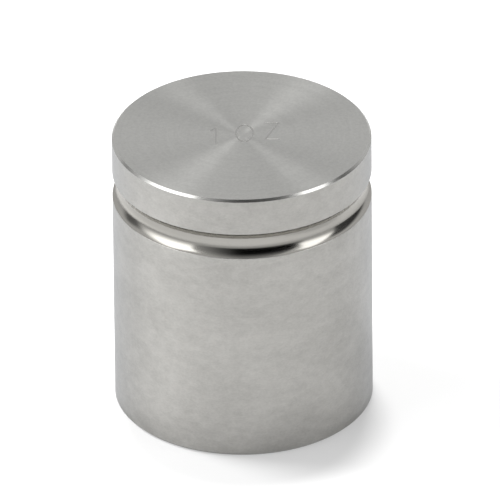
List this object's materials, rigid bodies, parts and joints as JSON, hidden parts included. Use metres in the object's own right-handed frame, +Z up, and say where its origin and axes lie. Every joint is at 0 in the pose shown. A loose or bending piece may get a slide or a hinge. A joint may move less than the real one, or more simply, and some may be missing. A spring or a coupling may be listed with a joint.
{
  "type": "calibration weight",
  "caption": "Solid stainless steel cylinder test weight with a disc head over a narrow round-bottomed neck groove, a chamfered rim and a flat base.",
  "frame": {"origin": "centre of the flat base that the weight rests on", "axes": "+Z up along the turning axis, from the base to the head; X and Y are any two directions across it"},
  "size_m": [0.0158, 0.0158, 0.0181],
  "materials": {
    "stainless_steel": "fine turned satin, with a polished chamfer and groove"
  },
  "bodies": {
    "root": {"weight": "stainless_steel"}
  },
  "joints": []
}
